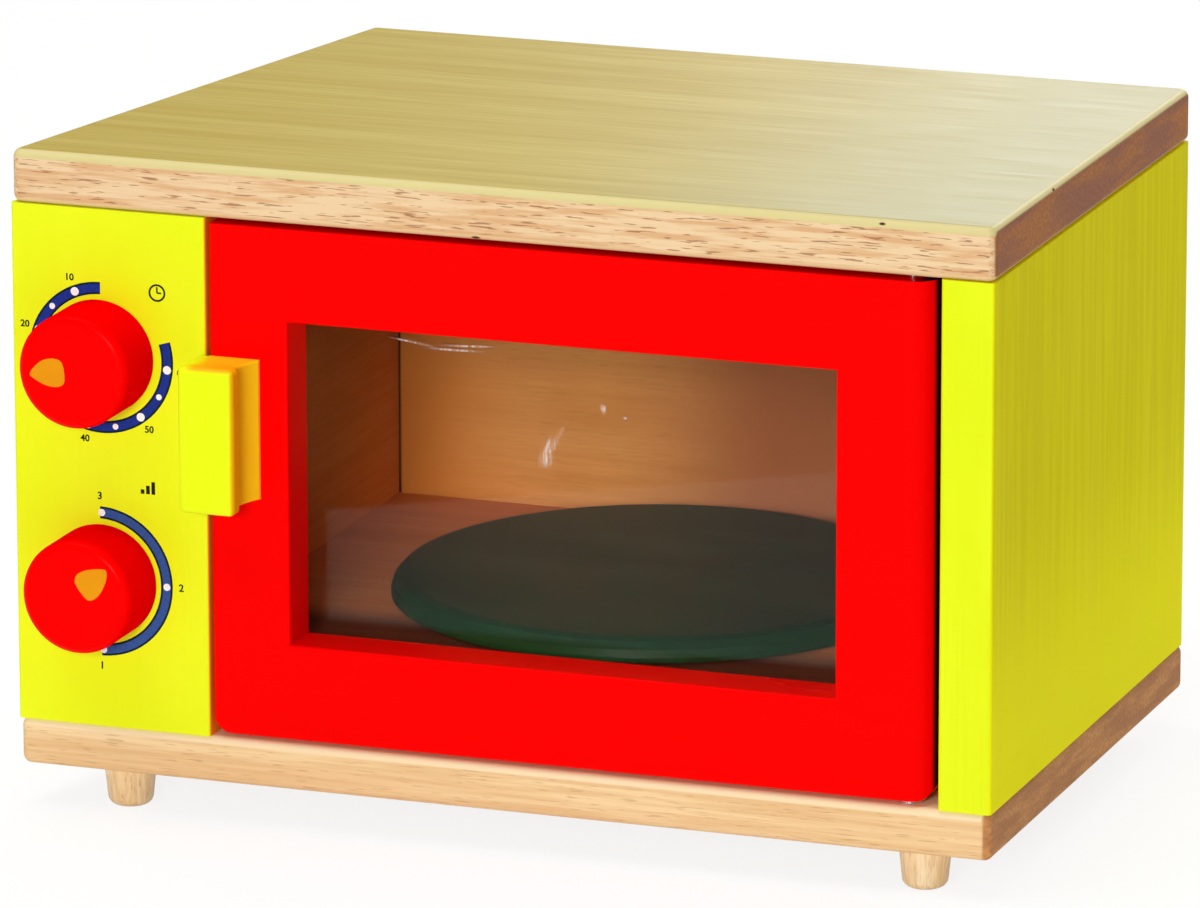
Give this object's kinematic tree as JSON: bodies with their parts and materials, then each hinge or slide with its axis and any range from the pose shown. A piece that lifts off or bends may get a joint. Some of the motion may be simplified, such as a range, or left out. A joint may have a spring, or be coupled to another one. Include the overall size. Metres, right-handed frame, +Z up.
{
  "type": "toy microwave oven",
  "caption": "Wooden toy microwave: slab boards above and below, windowed red door on side hinge pins, green turntable inside, yellow control panel with turning knobs.",
  "frame": {"origin": "on the ground under the middle of the whole outline, handle included", "axes": "+Z up, the front with door and knobs faces -Y, +X to the right as seen from the front: control panel at -X, door hinge at +X"},
  "size_m": [0.3197, 0.2264, 0.211],
  "materials": {
    "pale_wood": "clear satin lacquer",
    "honey_wood": "clear satin lacquer",
    "inner_wood": "clear satin lacquer",
    "dowel_wood": "bare",
    "yellow_paint": "semi-gloss yellow paint",
    "red_paint": "gloss red paint",
    "green_paint": "semi-gloss green paint",
    "clear_acrylic": "clear sheet",
    "magnet": "plain ferrite",
    "nylon": "moulded",
    "zinc_steel": "zinc plated"
  },
  "bodies": {
    "cabinet": {"base_board": "honey_wood", "top_board": "pale_wood", "right_side_panel": "yellow_paint", "left_side_panel": "yellow_paint", "control_panel": "yellow_paint", "divider_wall": "inner_wood", "back_panel": "inner_wood", "cavity_floor": "inner_wood", "floor_front_rail": "inner_wood", "floor_rear_rail": "inner_wood", "back_top_batten": "inner_wood", "top_dowels": "dowel_wood", "base_screws": "zinc_steel", "back_panel_screws": "zinc_steel", "catch_block": "inner_wood", "catch_magnet": "magnet", "hinge_pins": "zinc_steel", "hinge_washer": "zinc_steel", "turntable_washer": "nylon", "foot_front_left": "honey_wood", "foot_front_right": "honey_wood", "foot_rear_left": "honey_wood", "foot_rear_right": "honey_wood"},
    "door": {"door_frame": "red_paint", "window_pane": "clear_acrylic", "pane_screws": "zinc_steel", "door_handle": "yellow_paint", "handle_screws": "zinc_steel", "catch_plate": "zinc_steel"},
    "turntable": {"turntable_disc": "green_paint", "turntable_spindle": "dowel_wood", "turntable_collar": "dowel_wood"},
    "timer_knob": {"timer_knob": "red_paint", "timer_axle": "dowel_wood", "timer_collar": "dowel_wood"},
    "power_knob": {"power_knob": "red_paint", "power_axle": "dowel_wood", "power_collar": "dowel_wood"}
  },
  "joints": [
    {"name": "door_hinge", "type": "hinge", "parent": "cabinet", "child": "door", "pos_m": [0.1315, -0.0818, 0.1115], "axis": [0, 0, 1], "range_deg": [0, 100]},
    {"name": "turntable_spin", "type": "hinge", "parent": "cabinet", "child": "turntable", "pos_m": [0.0155, 0.0152, 0.0615], "axis": [0, 0, 1], "continuous": true},
    {"name": "timer_turn", "type": "hinge", "parent": "cabinet", "child": "timer_knob", "pos_m": [-0.1306, -0.0912, 0.1472], "axis": [0, -1, 0], "continuous": true},
    {"name": "power_turn", "type": "hinge", "parent": "cabinet", "child": "power_knob", "pos_m": [-0.1306, -0.0912, 0.0752], "axis": [0, -1, 0], "continuous": true}
  ]
}
